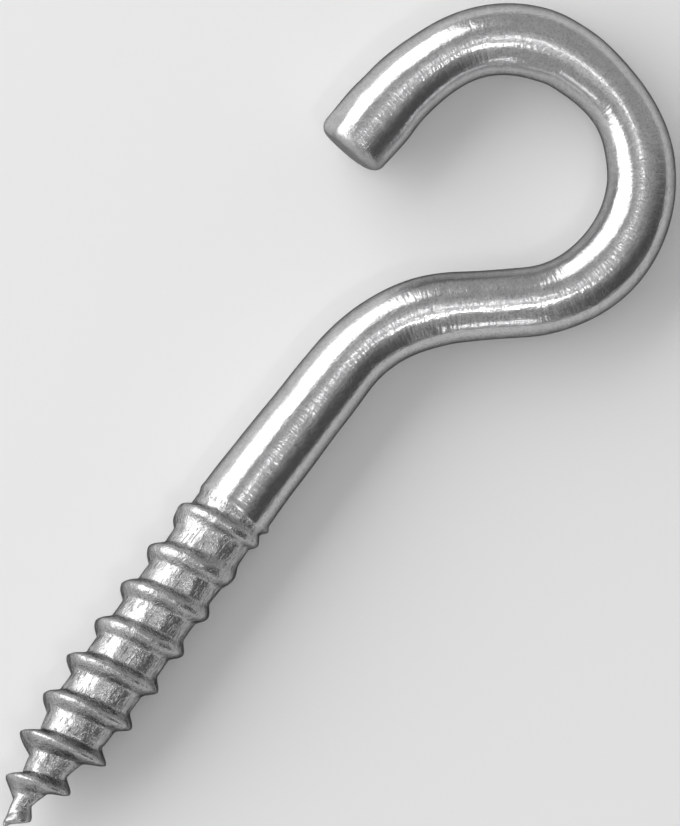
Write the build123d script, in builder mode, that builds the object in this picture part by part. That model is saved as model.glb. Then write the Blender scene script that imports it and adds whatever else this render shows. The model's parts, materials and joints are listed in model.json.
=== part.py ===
from build123d import *
import math
import os

# A screw hook: one round steel wire, with a wood thread and a gimlet point at one end, bent into a
# nearly closed hook at the other. It lies flat, with the hook in the XY plane. The thread's axis is
# the X axis, its point is towards -X, and the origin is where the plain shank meets the thread,
# which is the wall's face once the hook is driven home. Sizes are in millimetres. Turns are in
# degrees, positive to the left of the wire's own direction.

# Wire
wire_dia = 6.4
end_rounding = 0.6

# Centre line of the wire, from the wall's face to the free end. The neck leans the wire away, and
# the back, the seat that takes the load and the return bring it round to the free end
collar_run = 0.8
lean_radius = 58.0
lean_turn = -2.1
shank_run = 12.1
neck_radius = 14.6
neck_turn = -47.8
throat_run = 6.0
back_radius = 11.35
back_turn = 125.8
seat_radius = 17.2
seat_turn = 15.0
return_radius = 10.5
return_turn = 64.4
lead_radius = 20.2
lead_turn = 19.6
free_run = 5.8

# Core of the thread: a cylinder that ends in a cone
thread_len = 35.5
core_dia = 6.4
point_len = 11.0
tip_dia = 0.4

# Ridge of the thread: a strip with sloping flanks that winds round the core, right-handed. Its
# middle crosses the +Y side at first_crest from the wall's face, and then once a pitch. It rises
# out of the core over run_in, and over crest_taper_len its crest closes in on the point, where it
# would stand point_crest_dia across
thread_dia = 8.3
pitch = 4.0
first_crest = 3.9
ridge_start = 1.4
run_in = 2.4
crest_taper_len = 9.0
point_crest_dia = 2.2
crest_width = 0.4

# Foot of the ridge, which lies inside the core, with its width and depth below the core's surface
# as a share of the core's radius
foot_width = 2.5
foot_share = 0.12
sections_per_turn = 24


def core_radius(depth):
    """Radius of the thread's core at a distance from the wall's face."""
    share = min(1, max(0, 1 - (thread_len - depth) / point_len))
    return (core_dia + (tip_dia - core_dia) * share) / 2


def foot_radius(depth):
    """Radius of the ridge's foot, inside the core."""
    return core_radius(depth) * (1 - foot_share)


def crest_radius(depth):
    """Radius of the ridge's crest, which starts at its foot."""
    taper = max(0, 1 - (thread_len - depth) / crest_taper_len)
    full = (thread_dia + (point_crest_dia - thread_dia) * taper) / 2
    rise = min(1, (depth - ridge_start) / run_in)
    sunk = core_radius(depth) * (1 - foot_share / 2)
    return sunk + (full - sunk) * rise


def ridge_plane(depth):
    """Plane through the axis at the ridge: its x axis points outwards, its y axis at the point."""
    angle = 2 * math.pi * (first_crest - depth) / pitch
    outwards = (0, math.cos(angle), math.sin(angle))
    around = (0, -math.sin(angle), math.cos(angle))
    return Plane(origin=(-depth, 0, 0), x_dir=outwards, z_dir=around)


with BuildPart() as screw_hook:
    # Plain shank and hook: the wire's round section along its centre line
    with BuildLine() as centre_line:
        run = Line((0, 0), (collar_run, 0))
        bend = JernArc(run @ 1, run % 1, lean_radius, lean_turn)
        run = PolarLine(bend @ 1, shank_run, direction=bend % 1)
        bend = JernArc(run @ 1, run % 1, neck_radius, neck_turn)
        run = PolarLine(bend @ 1, throat_run, direction=bend % 1)
        bend = JernArc(run @ 1, run % 1, back_radius, back_turn)
        bend = JernArc(bend @ 1, bend % 1, seat_radius, seat_turn)
        bend = JernArc(bend @ 1, bend % 1, return_radius, return_turn)
        bend = JernArc(bend @ 1, bend % 1, lead_radius, lead_turn)
        run = PolarLine(bend @ 1, free_run, direction=bend % 1)
    free_end = run @ 1
    with BuildSketch(Plane.YZ):
        Circle(wire_dia / 2)
    sweep(path=centre_line.wire())
    fillet(screw_hook.faces().sort_by_distance(free_end)[0].edges(), end_rounding)

    # Core of the thread, with its cone
    with BuildSketch():
        with BuildLine():
            Polyline(
                (0, 0),
                (0, core_dia / 2),
                (point_len - thread_len, core_dia / 2),
                (-thread_len, tip_dia / 2),
                (-thread_len, 0),
                close=True,
            )
        make_face()
    revolve(axis=Axis.X)

    # Ridge of the thread: sections through the axis, set round the core along its helix
    half_foot = foot_width / 2
    half_crest = crest_width / 2
    ridge_len = thread_len - half_foot - ridge_start
    section_count = math.ceil(ridge_len / pitch * sections_per_turn)
    for index in range(section_count + 1):
        depth = ridge_start + ridge_len * index / section_count
        with BuildSketch(ridge_plane(depth)):
            Polygon(
                (foot_radius(depth - half_foot), -half_foot),
                (crest_radius(depth), -half_crest),
                (crest_radius(depth), half_crest),
                (foot_radius(depth + half_foot), half_foot),
                align=None,
            )
    loft(ruled=True)

screw_hook.part.label = "screw_hook"

os.makedirs("parts", exist_ok=True)
export_step(screw_hook.part, "parts/screw_hook.step")
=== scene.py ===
"""A screw hook of bright zinc-plated wire, lying flat on a pale floor.

The hook is one mesh of rings strung on the wire's centre line, from the gimlet point to the free
end. Lengths are in millimetres until the mesh, the lamps and the camera turn them into metres.
"""
import bpy
import json
import math
import numpy as np
from mathutils import Matrix, Vector


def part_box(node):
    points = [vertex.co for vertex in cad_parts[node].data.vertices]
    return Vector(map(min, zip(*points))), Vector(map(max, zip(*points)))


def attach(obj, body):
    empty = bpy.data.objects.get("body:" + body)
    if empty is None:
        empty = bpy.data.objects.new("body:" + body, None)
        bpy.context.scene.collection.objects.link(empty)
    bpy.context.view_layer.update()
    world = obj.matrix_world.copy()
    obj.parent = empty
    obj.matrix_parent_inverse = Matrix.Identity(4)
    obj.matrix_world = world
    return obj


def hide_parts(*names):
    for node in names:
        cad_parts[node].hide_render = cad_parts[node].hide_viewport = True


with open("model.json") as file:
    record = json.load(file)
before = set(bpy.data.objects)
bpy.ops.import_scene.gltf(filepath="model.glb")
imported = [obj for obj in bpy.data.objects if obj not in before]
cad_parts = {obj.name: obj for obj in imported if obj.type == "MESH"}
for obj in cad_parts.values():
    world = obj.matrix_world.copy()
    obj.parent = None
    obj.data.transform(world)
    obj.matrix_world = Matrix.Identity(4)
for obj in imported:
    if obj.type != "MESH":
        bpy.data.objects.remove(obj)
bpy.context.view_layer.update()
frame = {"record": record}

MM = 0.001
NODE = "screw_hook"
MOUNTS = {mount["name"]: mount for mount in frame["record"]["mounts"]}
LOW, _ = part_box(NODE)

# ---------------------------------------------------------------- sizes of the wire
WIRE_RADIUS = MOUNTS["free_end"]["dims"]["r_mm"]
THREAD_LEN = -LOW.x / MM

# The bent centre line from the thread to the free end: a straight run is (length, 0), and a bend
# is (radius, turn in degrees), positive to the left
CENTRE_LINE = (
    (0.8, 0),
    (58.0, -2.1),
    (12.1, 0),
    (14.6, -47.8),
    (6.0, 0),
    (11.35, 125.8),
    (17.2, 15.0),
    (10.5, 64.4),
    (20.2, 19.6),
    (5.8, 0),
)

# How far the wire's width in the plane of the hook departs from round, at distances from the wall.
# The bending tools squeezed it where it is tightest
GIRTH = (
    (0.0, 1.085),
    (4.4, 1.06),
    (11.0, 1.02),
    (17.8, 0.978),
    (24.4, 1.015),
    (30.0, 0.962),
    (35.0, 0.972),
    (42.0, 1.02),
    (51.0, 0.958),
    (57.7, 0.875),
    (63.0, 0.958),
    (66.0, 1.015),
    (75.0, 0.967),
    (80.4, 1.01),
    (83.0, 1.06),
    (87.2, 1.03),
)

# ---------------------------------------------------------------- sizes of the thread
PITCH = 4.0
FIRST_CREST = 3.9
CORE = ((0.0, 3.34), (3.0, 3.24), (17.0, 3.22), (24.5, 3.02), (27.2, 2.32), (30.0, 1.68), (35.5, 0.16))
# The crests stand out unevenly, so their radius is given down each side of the hook's plane
LEFT_CREST = (
    (0.0, 3.7),
    (3.3, 4.1),
    (11.7, 4.2),
    (15.8, 4.12),
    (20.0, 4.42),
    (23.9, 4.12),
    (27.8, 3.85),
    (31.8, 2.6),
    (34.4, 0.55),
    (35.5, 0.4),
)
RIGHT_CREST = (
    (0.0, 3.6),
    (2.1, 3.75),
    (6.0, 3.72),
    (10.1, 3.88),
    (17.9, 4.08),
    (25.9, 4.2),
    (29.9, 3.15),
    (33.9, 1.68),
    (35.5, 0.95),
)
# The ridge rises out of the core between its start and its full height, and stops at its end
RIDGE_START = 0.3
RIDGE_FULL = 2.3
RIDGE_END = 35.25
# The first crest lies nearer the collar than the pitch would put it
SHIFTED_CREST = 3.5
SHIFTED_BY = 0.65
SHIFT_REACH = 0.9
# Half the ridge's width at its foot and at its crest
HALF_BASE = ((0.0, 1.3), (4.0, 1.3), (8.0, 1.05), (35.5, 1.0))
HALF_CREST = ((0.0, 0.35), (4.0, 0.45), (8.0, 0.26), (20.0, 0.16), (35.5, 0.1))
# Where the plain shank ends in a rolled lip, and how high the lip stands
COLLAR = 0.75
LIP_HEIGHT = 0.05
LIP_REACH = 0.35
# Height of the unevenness left in the rolled thread and in the drawn wire
THREAD_UNEVEN = 0.03
WIRE_UNEVEN = 0.012

# ---------------------------------------------------------------- sizes of the free end
END_ROUNDING = 1.05
# The rounding reaches further in on one side than on the other
ROUNDING_SHARE = 1.15
ROUNDING_DRAG = 0.35
DRAG_TURN = 30
# The cropping tool left a shallow facet beside the end, which runs out along the wire
FACET_TURN = 146
FACET_DEPTH = 0.16

# ---------------------------------------------------------------- fineness of the mesh
AROUND = 128
THREAD_STEP = 0.1
WIRE_STEP = 0.45
ROUNDING_RINGS = 9
FACE_RINGS = 9


def eased(stations, at):
    """Values between stations, easing in and out of each one."""
    places = np.array([station[0] for station in stations])
    values = np.array([station[1] for station in stations])
    index = np.clip(np.searchsorted(places, at) - 1, 0, len(places) - 2)
    share = np.clip((at - places[index]) / (places[index + 1] - places[index]), 0, 1)
    share = share * share * (3 - 2 * share)
    return values[index] + (values[index + 1] - values[index]) * share


def straight(stations, at):
    """Values between stations, on straight lines."""
    return np.interp(at, [station[0] for station in stations], [station[1] for station in stations])


def step_up(value, low, high):
    """0 below low, 1 above high and a smooth step between."""
    share = np.clip((value - low) / (high - low), 0, 1)
    return share * share * (3 - 2 * share)


def smooth_min(first, second, reach):
    """The lesser of two values, blended where they are within reach of each other."""
    share = np.clip(0.5 + 0.5 * (second - first) / reach, 0, 1)
    return second + (first - second) * share - reach * share * (1 - share)


def centre_line_point(distance):
    """Centre and leftward direction of the wire at a distance from the wall."""
    x, y, heading, done = 0.0, 0.0, 0.0, 0.0
    for size, turn in CENTRE_LINE:
        length = size if turn == 0 else size * abs(math.radians(turn))
        part = min(max(distance - done, 0), length)
        if turn == 0:
            x += part * math.cos(heading)
            y += part * math.sin(heading)
        else:
            side = math.copysign(size, turn)
            next_heading = heading + part / side
            x += side * (math.sin(next_heading) - math.sin(heading))
            y += side * (math.cos(heading) - math.cos(next_heading))
            heading = next_heading
        done += length
        if distance <= done:
            break
    return (x, y, 0.0), (-math.sin(heading), math.cos(heading), 0.0)


WIRE_LEN = sum(size if turn == 0 else size * abs(math.radians(turn)) for size, turn in CENTRE_LINE)


def mottle(first, second, third, size, seed):
    """Smooth random relief between about -1 and 1, from waves a given size long."""
    random = np.random.default_rng(seed)
    total = np.zeros(np.broadcast(first, second, third).shape)
    waves = 14
    for _ in range(waves):
        direction = random.normal(size=3)
        direction /= np.linalg.norm(direction)
        turn = 2 * math.pi / (size * random.uniform(0.7, 1.6))
        phase = random.uniform(0, 2 * math.pi)
        along = direction[0] * first + direction[1] * second + direction[2] * third
        total += np.cos(turn * along + phase)
    return total / math.sqrt(waves)


def thread_radius(depth, angle):
    """Radius of the threaded end, and the share of the ridge's height, at a depth past the wall."""
    core = straight(CORE, depth)
    leftward = 0.5 + 0.5 * np.cos(angle)
    crest = straight(LEFT_CREST, depth) * leftward + straight(RIGHT_CREST, depth) * (1 - leftward)
    shift = SHIFTED_BY * np.exp(-((depth - SHIFTED_CREST) / SHIFT_REACH) ** 2)
    turns = (depth - FIRST_CREST + shift) / PITCH + angle / (2 * math.pi)
    off_crest = (turns - np.round(turns)) * PITCH
    half_crest = straight(HALF_CREST, depth)
    half_base = straight(HALF_BASE, depth)
    slope = (half_base - np.abs(off_crest)) / (half_base - half_crest)
    height = -smooth_min(-smooth_min(slope, 1, 0.35), 0, 0.22)
    rise = step_up(depth, RIDGE_START, RIDGE_FULL) * (1 - step_up(depth, RIDGE_END - 0.3, RIDGE_END + 0.2))
    height = height * rise
    return core + (crest - core) * height, height


def wire_radius(distance, angle):
    """Radius of the plain wire at a distance from the wall and an angle round it."""
    width = eased(GIRTH, distance)
    depth = 1 + (width - 1) * (1 - step_up(distance, 8.0, 16.0))
    across = WIRE_RADIUS * width
    upright = WIRE_RADIUS * depth
    return across * upright / np.hypot(upright * np.cos(angle), across * np.sin(angle))


# Shallow marks in the wire: distance from the wall, angle round it in degrees, how far they reach
# along and round the wire, and their depth, which is negative where a burr stands up
MARKS = (
    (-0.55, 183, 0.28, 0.8, -0.24),
    (-1.35, 183, 0.4, 1.2, 0.16),
    (21.6, 123, 0.75, 0.6, 0.05),
    (22.4, 118, 0.3, 0.5, 0.05),
    (24.8, 129, 0.3, 0.25, 0.09),
    (29.5, 60, 0.35, 0.2, 0.03),
    (9.2, 101, 0.5, 0.12, 0.03),
    (6.4, 98, 0.35, 0.12, 0.03),
    (84.6, 118, 0.35, 0.3, 0.05),
    (85.7, 92, 0.25, 0.2, 0.05),
)


def hook_rings():
    """Distances, angles round, radii and labels of the rings from the point to the free end."""
    angle = np.arange(AROUND) / AROUND * 2 * math.pi
    distances = [-THREAD_LEN + THREAD_STEP * k for k in range(int((THREAD_LEN + 1.6) / THREAD_STEP))]
    last = WIRE_LEN - END_ROUNDING
    count = math.ceil((last - distances[-1]) / WIRE_STEP)
    start = distances[-1]
    distances += [start + (last - start) * (k + 1) / count for k in range(count)]
    distances = np.array(distances)
    at = distances[:, None]
    around = angle[None, :]
    depth = -at
    threaded, height = thread_radius(np.maximum(depth, 0), around)
    plain = wire_radius(np.maximum(at, 0), around)
    # the plain shank ends in a rolled lip at the collar, and falls to the thread's core past it
    wobble = 0.12 * np.sin(around + 0.6) + 0.05 * np.sin(3 * around)
    past = depth - COLLAR + wobble
    lip = LIP_HEIGHT * np.exp(-((past + 0.05) / LIP_REACH) ** 2)
    radius = plain + (threaded - plain) * step_up(past, -0.1, 0.75) + lip
    side = radius * np.cos(around)
    up = radius * np.sin(around)
    thread = step_up(past, -0.2, 0.5)
    radius = radius + thread * THREAD_UNEVEN * mottle(at, side, up, 1.5, 3)
    radius = radius + WIRE_UNEVEN * mottle(at * 0.5, side, up, 2.6, 5) * step_up(-depth, 0, 3)
    for place, degrees, reach_along, reach_round, sunk in MARKS:
        round_way = (around - math.radians(degrees)) * WIRE_RADIUS
        near = ((at - place) / reach_along) ** 2 + (round_way / reach_round) ** 2
        radius = radius - sunk * np.exp(-near)
    # the cropping tool's facet runs out within 5 mm of the free end
    back = WIRE_LEN - at
    facet = WIRE_RADIUS - FACET_DEPTH + 0.3 * step_up(back, 0.4, 4.4) + 6 * step_up(back, 4.0, 8.0)
    facing = np.maximum(np.cos(around - math.radians(FACET_TURN)), 0.05)
    radius = smooth_min(radius, facet / facing, 0.1)
    return distances, angle, radius, height * thread, thread


def build_hook():
    """The hook's mesh, with the places that its finish follows stored on its points."""
    distances, angle, radius, ridge, thread = hook_rings()
    frames = [centre_line_point(distance) for distance in distances]
    centres = np.array([place for place, _ in frames])
    lefts = np.array([left for _, left in frames])
    centres[:, 0] = np.where(distances < 0, distances, centres[:, 0])
    cos, sin = np.cos(angle), np.sin(angle)
    rings = []
    labels = []

    def add_ring(centre, left, size, along, ridge_share, thread_share):
        ring = centre + np.outer(size * cos, left)
        ring[:, 2] += size * sin
        rings.append(ring)
        flat_place = np.column_stack((size * cos, size * sin, np.full(AROUND, along)))
        spread = np.broadcast_to(ridge_share, AROUND), np.broadcast_to(thread_share, AROUND)
        labels.append(np.column_stack((flat_place, *spread)))

    for index, distance in enumerate(distances):
        add_ring(centres[index], lefts[index], radius[index], distance, ridge[index], thread[index])
    # the rounded rim of the free end, then its cropped face
    centre, left = centres[-1], lefts[-1]
    forward = np.array((left[1], -left[0], 0.0))
    rim = radius[-1]
    rounding = END_ROUNDING * (ROUNDING_SHARE + ROUNDING_DRAG * np.cos(angle - math.radians(DRAG_TURN)))
    for k in range(1, ROUNDING_RINGS + 1):
        turn = math.pi / 2 * k / ROUNDING_RINGS
        inset = rounding * (1 - math.cos(turn))
        ahead = END_ROUNDING * math.sin(turn)
        add_ring(centre + forward * ahead, left, rim - inset, distances[-1] + ahead, 0, 0)
    edge = rim - rounding
    for k in range(1, FACE_RINGS + 1):
        share = 1 - k / (FACE_RINGS + 1)
        size = edge * share
        bow = 0.05 * mottle(size * cos, size * sin, 0.0, 2.4, 11) * (1 - share ** 4)
        add_ring(centre + forward * END_ROUNDING, left, size, WIRE_LEN, 0, 0)
        rings[-1] += np.outer(bow, forward)
    points = np.concatenate(rings)
    places = np.concatenate(labels)
    tip = np.array((-THREAD_LEN - 0.05, 0.0, 0.0))
    hub = centre + forward * END_ROUNDING
    points = np.vstack((points, tip, hub))
    places = np.vstack((places, (0, 0, -THREAD_LEN, 0, 1), (0, 0, WIRE_LEN, 0, 0)))
    faces = []
    ring_count = len(rings)
    for row in range(ring_count - 1):
        for column in range(AROUND):
            beside = (column + 1) % AROUND
            first = row * AROUND
            faces.append((first + column, first + AROUND + column, first + AROUND + beside, first + beside))
    last = (ring_count - 1) * AROUND
    tip_index, hub_index = len(points) - 2, len(points) - 1
    for column in range(AROUND):
        beside = (column + 1) % AROUND
        faces.append((tip_index, column, beside))
        faces.append((last + column, hub_index, last + beside))
    mesh = bpy.data.meshes.new("screw_hook_wire")
    mesh.from_pydata((points * MM).tolist(), [], faces)
    mesh.polygons.foreach_set("use_smooth", [True] * len(mesh.polygons))
    wrapped = mesh.attributes.new("wire_place", "FLOAT_VECTOR", "POINT")
    wrapped.data.foreach_set("vector", places[:, :3].astype(np.float32).ravel())
    for name, column in (("ridge", 3), ("threaded", 4)):
        stored = mesh.attributes.new(name, "FLOAT", "POINT")
        stored.data.foreach_set("value", places[:, column].astype(np.float32))
    mesh.validate()
    mesh.update()
    piece = bpy.data.objects.new("screw_hook_wire", mesh)
    bpy.context.scene.collection.objects.link(piece)
    return piece


# ---------------------------------------------------------------- shader maths
class Signal:
    """A socket's value, which Python's operators carry on into Math nodes."""

    def __init__(self, graph, socket):
        self.graph = graph
        self.socket = socket

    def math(self, operation, *values, clamp=False):
        settings = {"operation": operation, "use_clamp": clamp}
        return self.graph.node("ShaderNodeMath", settings, dict(enumerate(values)))

    def __add__(self, other):
        return self.math("ADD", self, other)

    __radd__ = __add__

    def __sub__(self, other):
        return self.math("SUBTRACT", self, other)

    def __rsub__(self, other):
        return self.math("SUBTRACT", other, self)

    def __mul__(self, other):
        return self.math("MULTIPLY", self, other)

    __rmul__ = __mul__

    def between(self, low, high):
        """0 where the value is below low, 1 above high, and a smooth step between."""
        settings = {"interpolation_type": "SMOOTHSTEP"}
        inputs = {"Value": self, "From Min": low, "From Max": high}
        return self.graph.node("ShaderNodeMapRange", settings, inputs)


class Graph:
    """A node tree that is filled by one method."""

    def __init__(self, tree):
        self.tree = tree
        tree.nodes.clear()

    def node(self, kind, settings=None, inputs=None, output=0):
        made = self.tree.nodes.new(kind)
        for name, value in (settings or {}).items():
            setattr(made, name, value)
        for key, value in (inputs or {}).items():
            if isinstance(value, Signal):
                self.tree.links.new(value.socket, made.inputs[key])
            else:
                made.inputs[key].default_value = value
        return Signal(self, made.outputs[output]) if made.outputs else made

    def noise(self, place, scale, detail=2.0, roughness=0.5):
        inputs = {"Vector": place, "Scale": scale, "Detail": detail, "Roughness": roughness}
        return self.node("ShaderNodeTexNoise", {"noise_dimensions": "3D"}, inputs)

    def stretched(self, place, by):
        return self.node("ShaderNodeVectorMath", {"operation": "MULTIPLY"}, {0: place, 1: by})

    def dot(self, place, direction):
        settings = {"operation": "DOT_PRODUCT"}
        return self.node("ShaderNodeVectorMath", settings, {0: place, 1: direction}, output=1)

    def mix(self, factor, first, second):
        settings = {"data_type": "RGBA", "clamp_factor": True}
        inputs = {"Factor": factor, 6: first, 7: second}
        return self.node("ShaderNodeMix", settings, inputs, output=2)


def grey(level, blue=0.0):
    return (level, level, level + blue, 1.0)


def zinc_plated_wire():
    """Bright zinc over drawn wire: rippled where it was bent, mottled and scuffed in the thread."""
    material = bpy.data.materials.new("bright_zinc_plate")
    material.use_nodes = True
    graph = Graph(material.node_tree)
    place = graph.node("ShaderNodeAttribute", {"attribute_name": "wire_place"}, output=1)
    ridge = graph.node("ShaderNodeAttribute", {"attribute_name": "ridge"}, output=2)
    threaded = graph.node("ShaderNodeAttribute", {"attribute_name": "threaded"}, output=2)

    # lengthwise lines, crosswise ripples, speckle, cloudy patches, and short scuffs in the thread
    drawn = graph.noise(graph.stretched(place, (3.2, 3.2, 0.22)), 1.0, 3.0, 0.6)
    ripple = graph.noise(graph.stretched(place, (0.6, 0.6, 3.6)), 1.0, 1.0, 0.5)
    grain = graph.noise(place, 5.5, 2.0, 0.7)
    blotch = graph.noise(place, 1.1, 3.0, 0.55)
    scuff = graph.noise(graph.stretched(place, (4.5, 4.5, 0.75)), 1.0, 1.0, 0.5)
    scuffed = scuff.between(0.6, 0.69) * threaded * (1 - ridge)

    cropped = graph.dot(place, (0, 0, 1)).between(WIRE_LEN - 2.0, WIRE_LEN - 0.5)

    # painted shade darkens the ridge's foot in the thread, and the zinc is duller in the thread and at the
    # cropped end
    ridge_foot_shade = (1 - ridge) * ridge.between(0.02, 0.3) * threaded
    tone = graph.mix(blotch.between(0.3, 0.75), grey(0.57, 0.006), grey(0.66, 0.004))
    tone = graph.mix(grain.between(0.48, 0.66) * 0.5, tone, grey(0.34))
    # the ridge's foot share of this darkening is painted shade
    tone = graph.mix(scuffed * 0.5 + ridge_foot_shade * 0.35 + cropped * 0.2 + threaded * 0.2, tone, grey(0.26))
    rough = 0.14 + grain.between(0.35, 0.8) * 0.1 + threaded * 0.06 + blotch.between(0.45, 0.8) * 0.05
    edge_on = graph.node("ShaderNodeLayerWeight", None, {"Blend": 0.5}, output=1)
    rough = rough + cropped * 0.12 + edge_on.between(0.2, 0.6) * 0.1 * (1 - threaded)

    # the thread's and the end's relief is measured from its middle, so that neither starts at a step
    relief = ripple * (0.25 + blotch.between(0.35, 0.7) * 0.4) + drawn * 0.25 + grain * 0.2
    rolled = (blotch - 0.5) * 2.2 + (grain - 0.5) * 0.8 - scuffed * 1.2
    relief = relief + threaded * rolled + cropped * (grain - 0.5) * 0.8
    bump = graph.node("ShaderNodeBump", None, {"Strength": 1.0, "Distance": 4.5e-5, "Height": relief})
    surface = graph.node(
        "ShaderNodeBsdfPrincipled",
        None,
        {
            "Base Color": tone,
            "Metallic": 1.0,
            "Roughness": rough,
            "Specular Tint": grey(0.06),
            "Normal": bump,
        },
    )
    graph.node("ShaderNodeOutputMaterial", None, {"Surface": surface})
    return material


def pale_floor():
    material = bpy.data.materials.new("pale_floor")
    material.use_nodes = True
    graph = Graph(material.node_tree)
    inputs = {"Base Color": grey(0.92), "Roughness": 0.9, "Specular IOR Level": 0.1}
    surface = graph.node("ShaderNodeBsdfPrincipled", None, inputs)
    graph.node("ShaderNodeOutputMaterial", None, {"Surface": surface})
    return material


# ---------------------------------------------------------------- camera and light
ROLL = math.radians(54.2)
TILT = math.radians(6.0)
AIM = Vector((11.83, -2.7, 0.0)) * MM
VIEW_HEIGHT = 73.43 * MM
CAMERA_DISTANCE = 1.5
SENSOR_HEIGHT = 24.0

TOWARD = Vector((-math.sin(TILT), 0, math.cos(TILT)))
SHANK = Vector((math.cos(TILT), 0, math.sin(TILT)))
ACROSS = Vector((0, 1, 0))
RIGHT = SHANK * math.cos(ROLL) - ACROSS * math.sin(ROLL)
UP = SHANK * math.sin(ROLL) + ACROSS * math.cos(ROLL)


def direction(azimuth, off_axis):
    """Unit vector at an angle off the camera's axis, towards an azimuth counted from its right."""
    turn, lean = math.radians(azimuth), math.radians(off_axis)
    sideways = RIGHT * math.cos(turn) + UP * math.sin(turn)
    return sideways * math.sin(lean) + TOWARD * math.cos(lean)


def place_camera():
    data = bpy.data.cameras.new("camera")
    data.sensor_fit = "VERTICAL"
    data.sensor_height = SENSOR_HEIGHT
    data.lens = SENSOR_HEIGHT * CAMERA_DISTANCE / VIEW_HEIGHT
    data.clip_start = 0.01
    camera = bpy.data.objects.new("camera", data)
    turn = Matrix((RIGHT, UP, TOWARD)).transposed().to_4x4()
    camera.matrix_world = Matrix.Translation(AIM + TOWARD * CAMERA_DISTANCE) @ turn
    bpy.context.scene.collection.objects.link(camera)
    bpy.context.scene.camera = camera


def place_lamp(name, azimuth, off_axis, distance, width, height, level):
    """A soft rectangular lamp that faces the hook, as bright as level times white."""
    data = bpy.data.lights.new(name, "AREA")
    data.shape = "RECTANGLE"
    data.size = width
    data.size_y = height
    data.energy = level * math.pi * width * height
    lamp = bpy.data.objects.new(name, data)
    outward = direction(azimuth, off_axis)
    upward = direction(azimuth, off_axis - 90)
    sideways = upward.cross(outward)
    turn = Matrix((sideways, upward, outward)).transposed().to_4x4()
    lamp.matrix_world = Matrix.Translation(AIM + outward * distance) @ turn
    lamp.visible_camera = False
    bpy.context.scene.collection.objects.link(lamp)


def light_room():
    """A room that is pale on one side and darker on the other, and its lamps."""
    world = bpy.data.worlds.new("studio")
    bpy.context.scene.world = world
    world.use_nodes = True
    graph = Graph(world.node_tree)
    out = graph.node("ShaderNodeTexCoord", output=0)
    overhead = graph.dot(out, TOWARD)
    toward_dark = graph.dot(out, direction(333, 76))
    toward_key = graph.dot(out, direction(160, 92))
    level = 0.415 + overhead.between(0.86, 1.0) * 0.28 + toward_key.between(0.5, 1.0) * 0.52
    level = level * (1 - toward_dark.between(0.6, 0.98) * 0.76)
    shade = graph.node("ShaderNodeCombineColor", None, {0: level, 1: level, 2: level})
    room = graph.node("ShaderNodeBackground", None, {"Color": shade, "Strength": 1.0})
    graph.node("ShaderNodeOutputWorld", None, {"Surface": room})
    place_lamp("key_lamp", 152, 59, 0.7, 1.45, 0.62, 2.0)
    place_lamp("top_lamp", 316, 19, 0.6, 0.16, 0.04, 7.5)
    place_lamp("middle_lamp", 50, 9, 0.6, 0.1, 0.025, 6.0)
    place_lamp("low_lamp", 228, 62, 0.5, 0.12, 0.06, 2.3)
    place_lamp("side_lamp", 281, 68, 0.5, 0.06, 0.05, 4.0)


def lay_floor():
    half = 2.0
    corners = [(-half, -half, LOW.z), (half, -half, LOW.z), (half, half, LOW.z), (-half, half, LOW.z)]
    mesh = bpy.data.meshes.new("floor")
    mesh.from_pydata(corners, [], [(0, 1, 2, 3)])
    floor = bpy.data.objects.new("floor", mesh)
    floor.data.materials.append(pale_floor())
    bpy.context.scene.collection.objects.link(floor)


bpy.context.scene.view_settings.view_transform = "Standard"
place_camera()
light_room()
lay_floor()
hook = build_hook()
hook.data.materials.append(zinc_plated_wire())
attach(hook, "root")
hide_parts(NODE)
